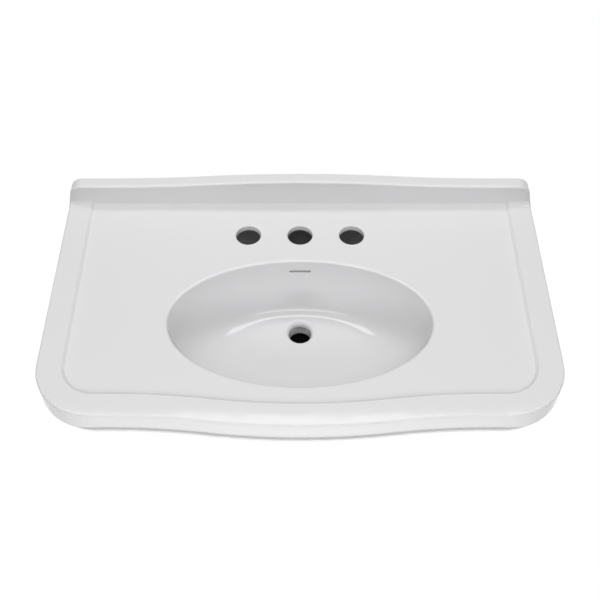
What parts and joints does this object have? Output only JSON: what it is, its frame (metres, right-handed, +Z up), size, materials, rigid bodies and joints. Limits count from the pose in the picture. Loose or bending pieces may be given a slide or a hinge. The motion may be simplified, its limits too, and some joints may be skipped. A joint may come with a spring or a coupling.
{
  "type": "wall-mounted console sink",
  "caption": "White glazed ceramic console sink top with an oval bowl, a recessed deck, a low curved backsplash and a bowed front, with the bolts that hang it on a wall.",
  "frame": {"origin": "on the wall's surface, on the sink's centre line, level with the top of the flat rim", "axes": "+X to the right along the wall, +Y into the wall, so the sink stands out towards -Y, +Z up"},
  "size_m": [0.93, 0.607, 0.233],
  "materials": {
    "vitreous_china": "white gloss glaze",
    "zinc_plated_steel": "bright zinc plate",
    "nylon": "natural, slightly milky"
  },
  "bodies": {
    "root": {"basin": "vitreous_china", "hanger_bolt_left": "zinc_plated_steel", "washer_left": "zinc_plated_steel", "nut_left": "zinc_plated_steel", "sleeve_bush_left": "nylon", "hanger_bolt_right": "zinc_plated_steel", "washer_right": "zinc_plated_steel", "nut_right": "zinc_plated_steel", "sleeve_bush_right": "nylon"}
  },
  "joints": []
}
